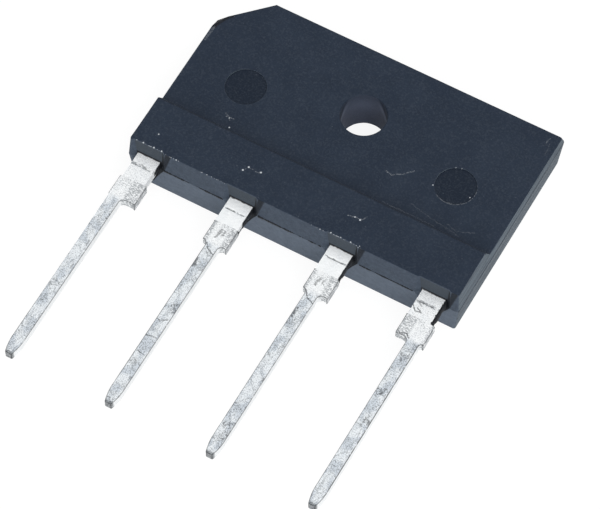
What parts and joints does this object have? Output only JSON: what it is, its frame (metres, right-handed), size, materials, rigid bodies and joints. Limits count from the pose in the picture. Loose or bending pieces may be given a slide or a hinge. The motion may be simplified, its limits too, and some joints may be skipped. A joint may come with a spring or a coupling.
{
  "type": "bridge rectifier",
  "caption": "Flat moulded bridge rectifier with a screw hole, a thick band and stamped leads in one row.",
  "frame": {"origin": "centre of the screw hole on the heat-sink face", "axes": "+X along the row of leads from the positive lead to the negative lead, +Y from the lead tips to the far edge of the body, +Z out of the marked face"},
  "size_m": [0.025, 0.0321, 0.0046],
  "materials": {
    "epoxy": "fine matt black-blue moulding compound with light scuffs",
    "tinned_copper": "dull bright tin plating, speckled and nicked",
    "silicon": "dark grey sawn silicon",
    "solder": "dull grey solder",
    "copper": "bare rolled copper"
  },
  "bodies": {
    "root": {"moulded_body": "epoxy", "lead_positive": "tinned_copper", "lead_ac_1": "tinned_copper", "lead_ac_2": "tinned_copper", "lead_negative": "tinned_copper", "diode_1": "silicon", "diode_2": "silicon", "diode_3": "silicon", "diode_4": "silicon", "die_solder_1": "solder", "die_solder_2": "solder", "die_solder_3": "solder", "die_solder_4": "solder", "top_solder_1": "solder", "top_solder_2": "solder", "top_solder_3": "solder", "top_solder_4": "solder", "clip_ac_1": "copper", "clip_ac_2": "copper", "clip_negative": "copper", "foot_solder_ac_1": "solder", "foot_solder_ac_2": "solder", "foot_solder_negative": "solder"}
  },
  "joints": []
}
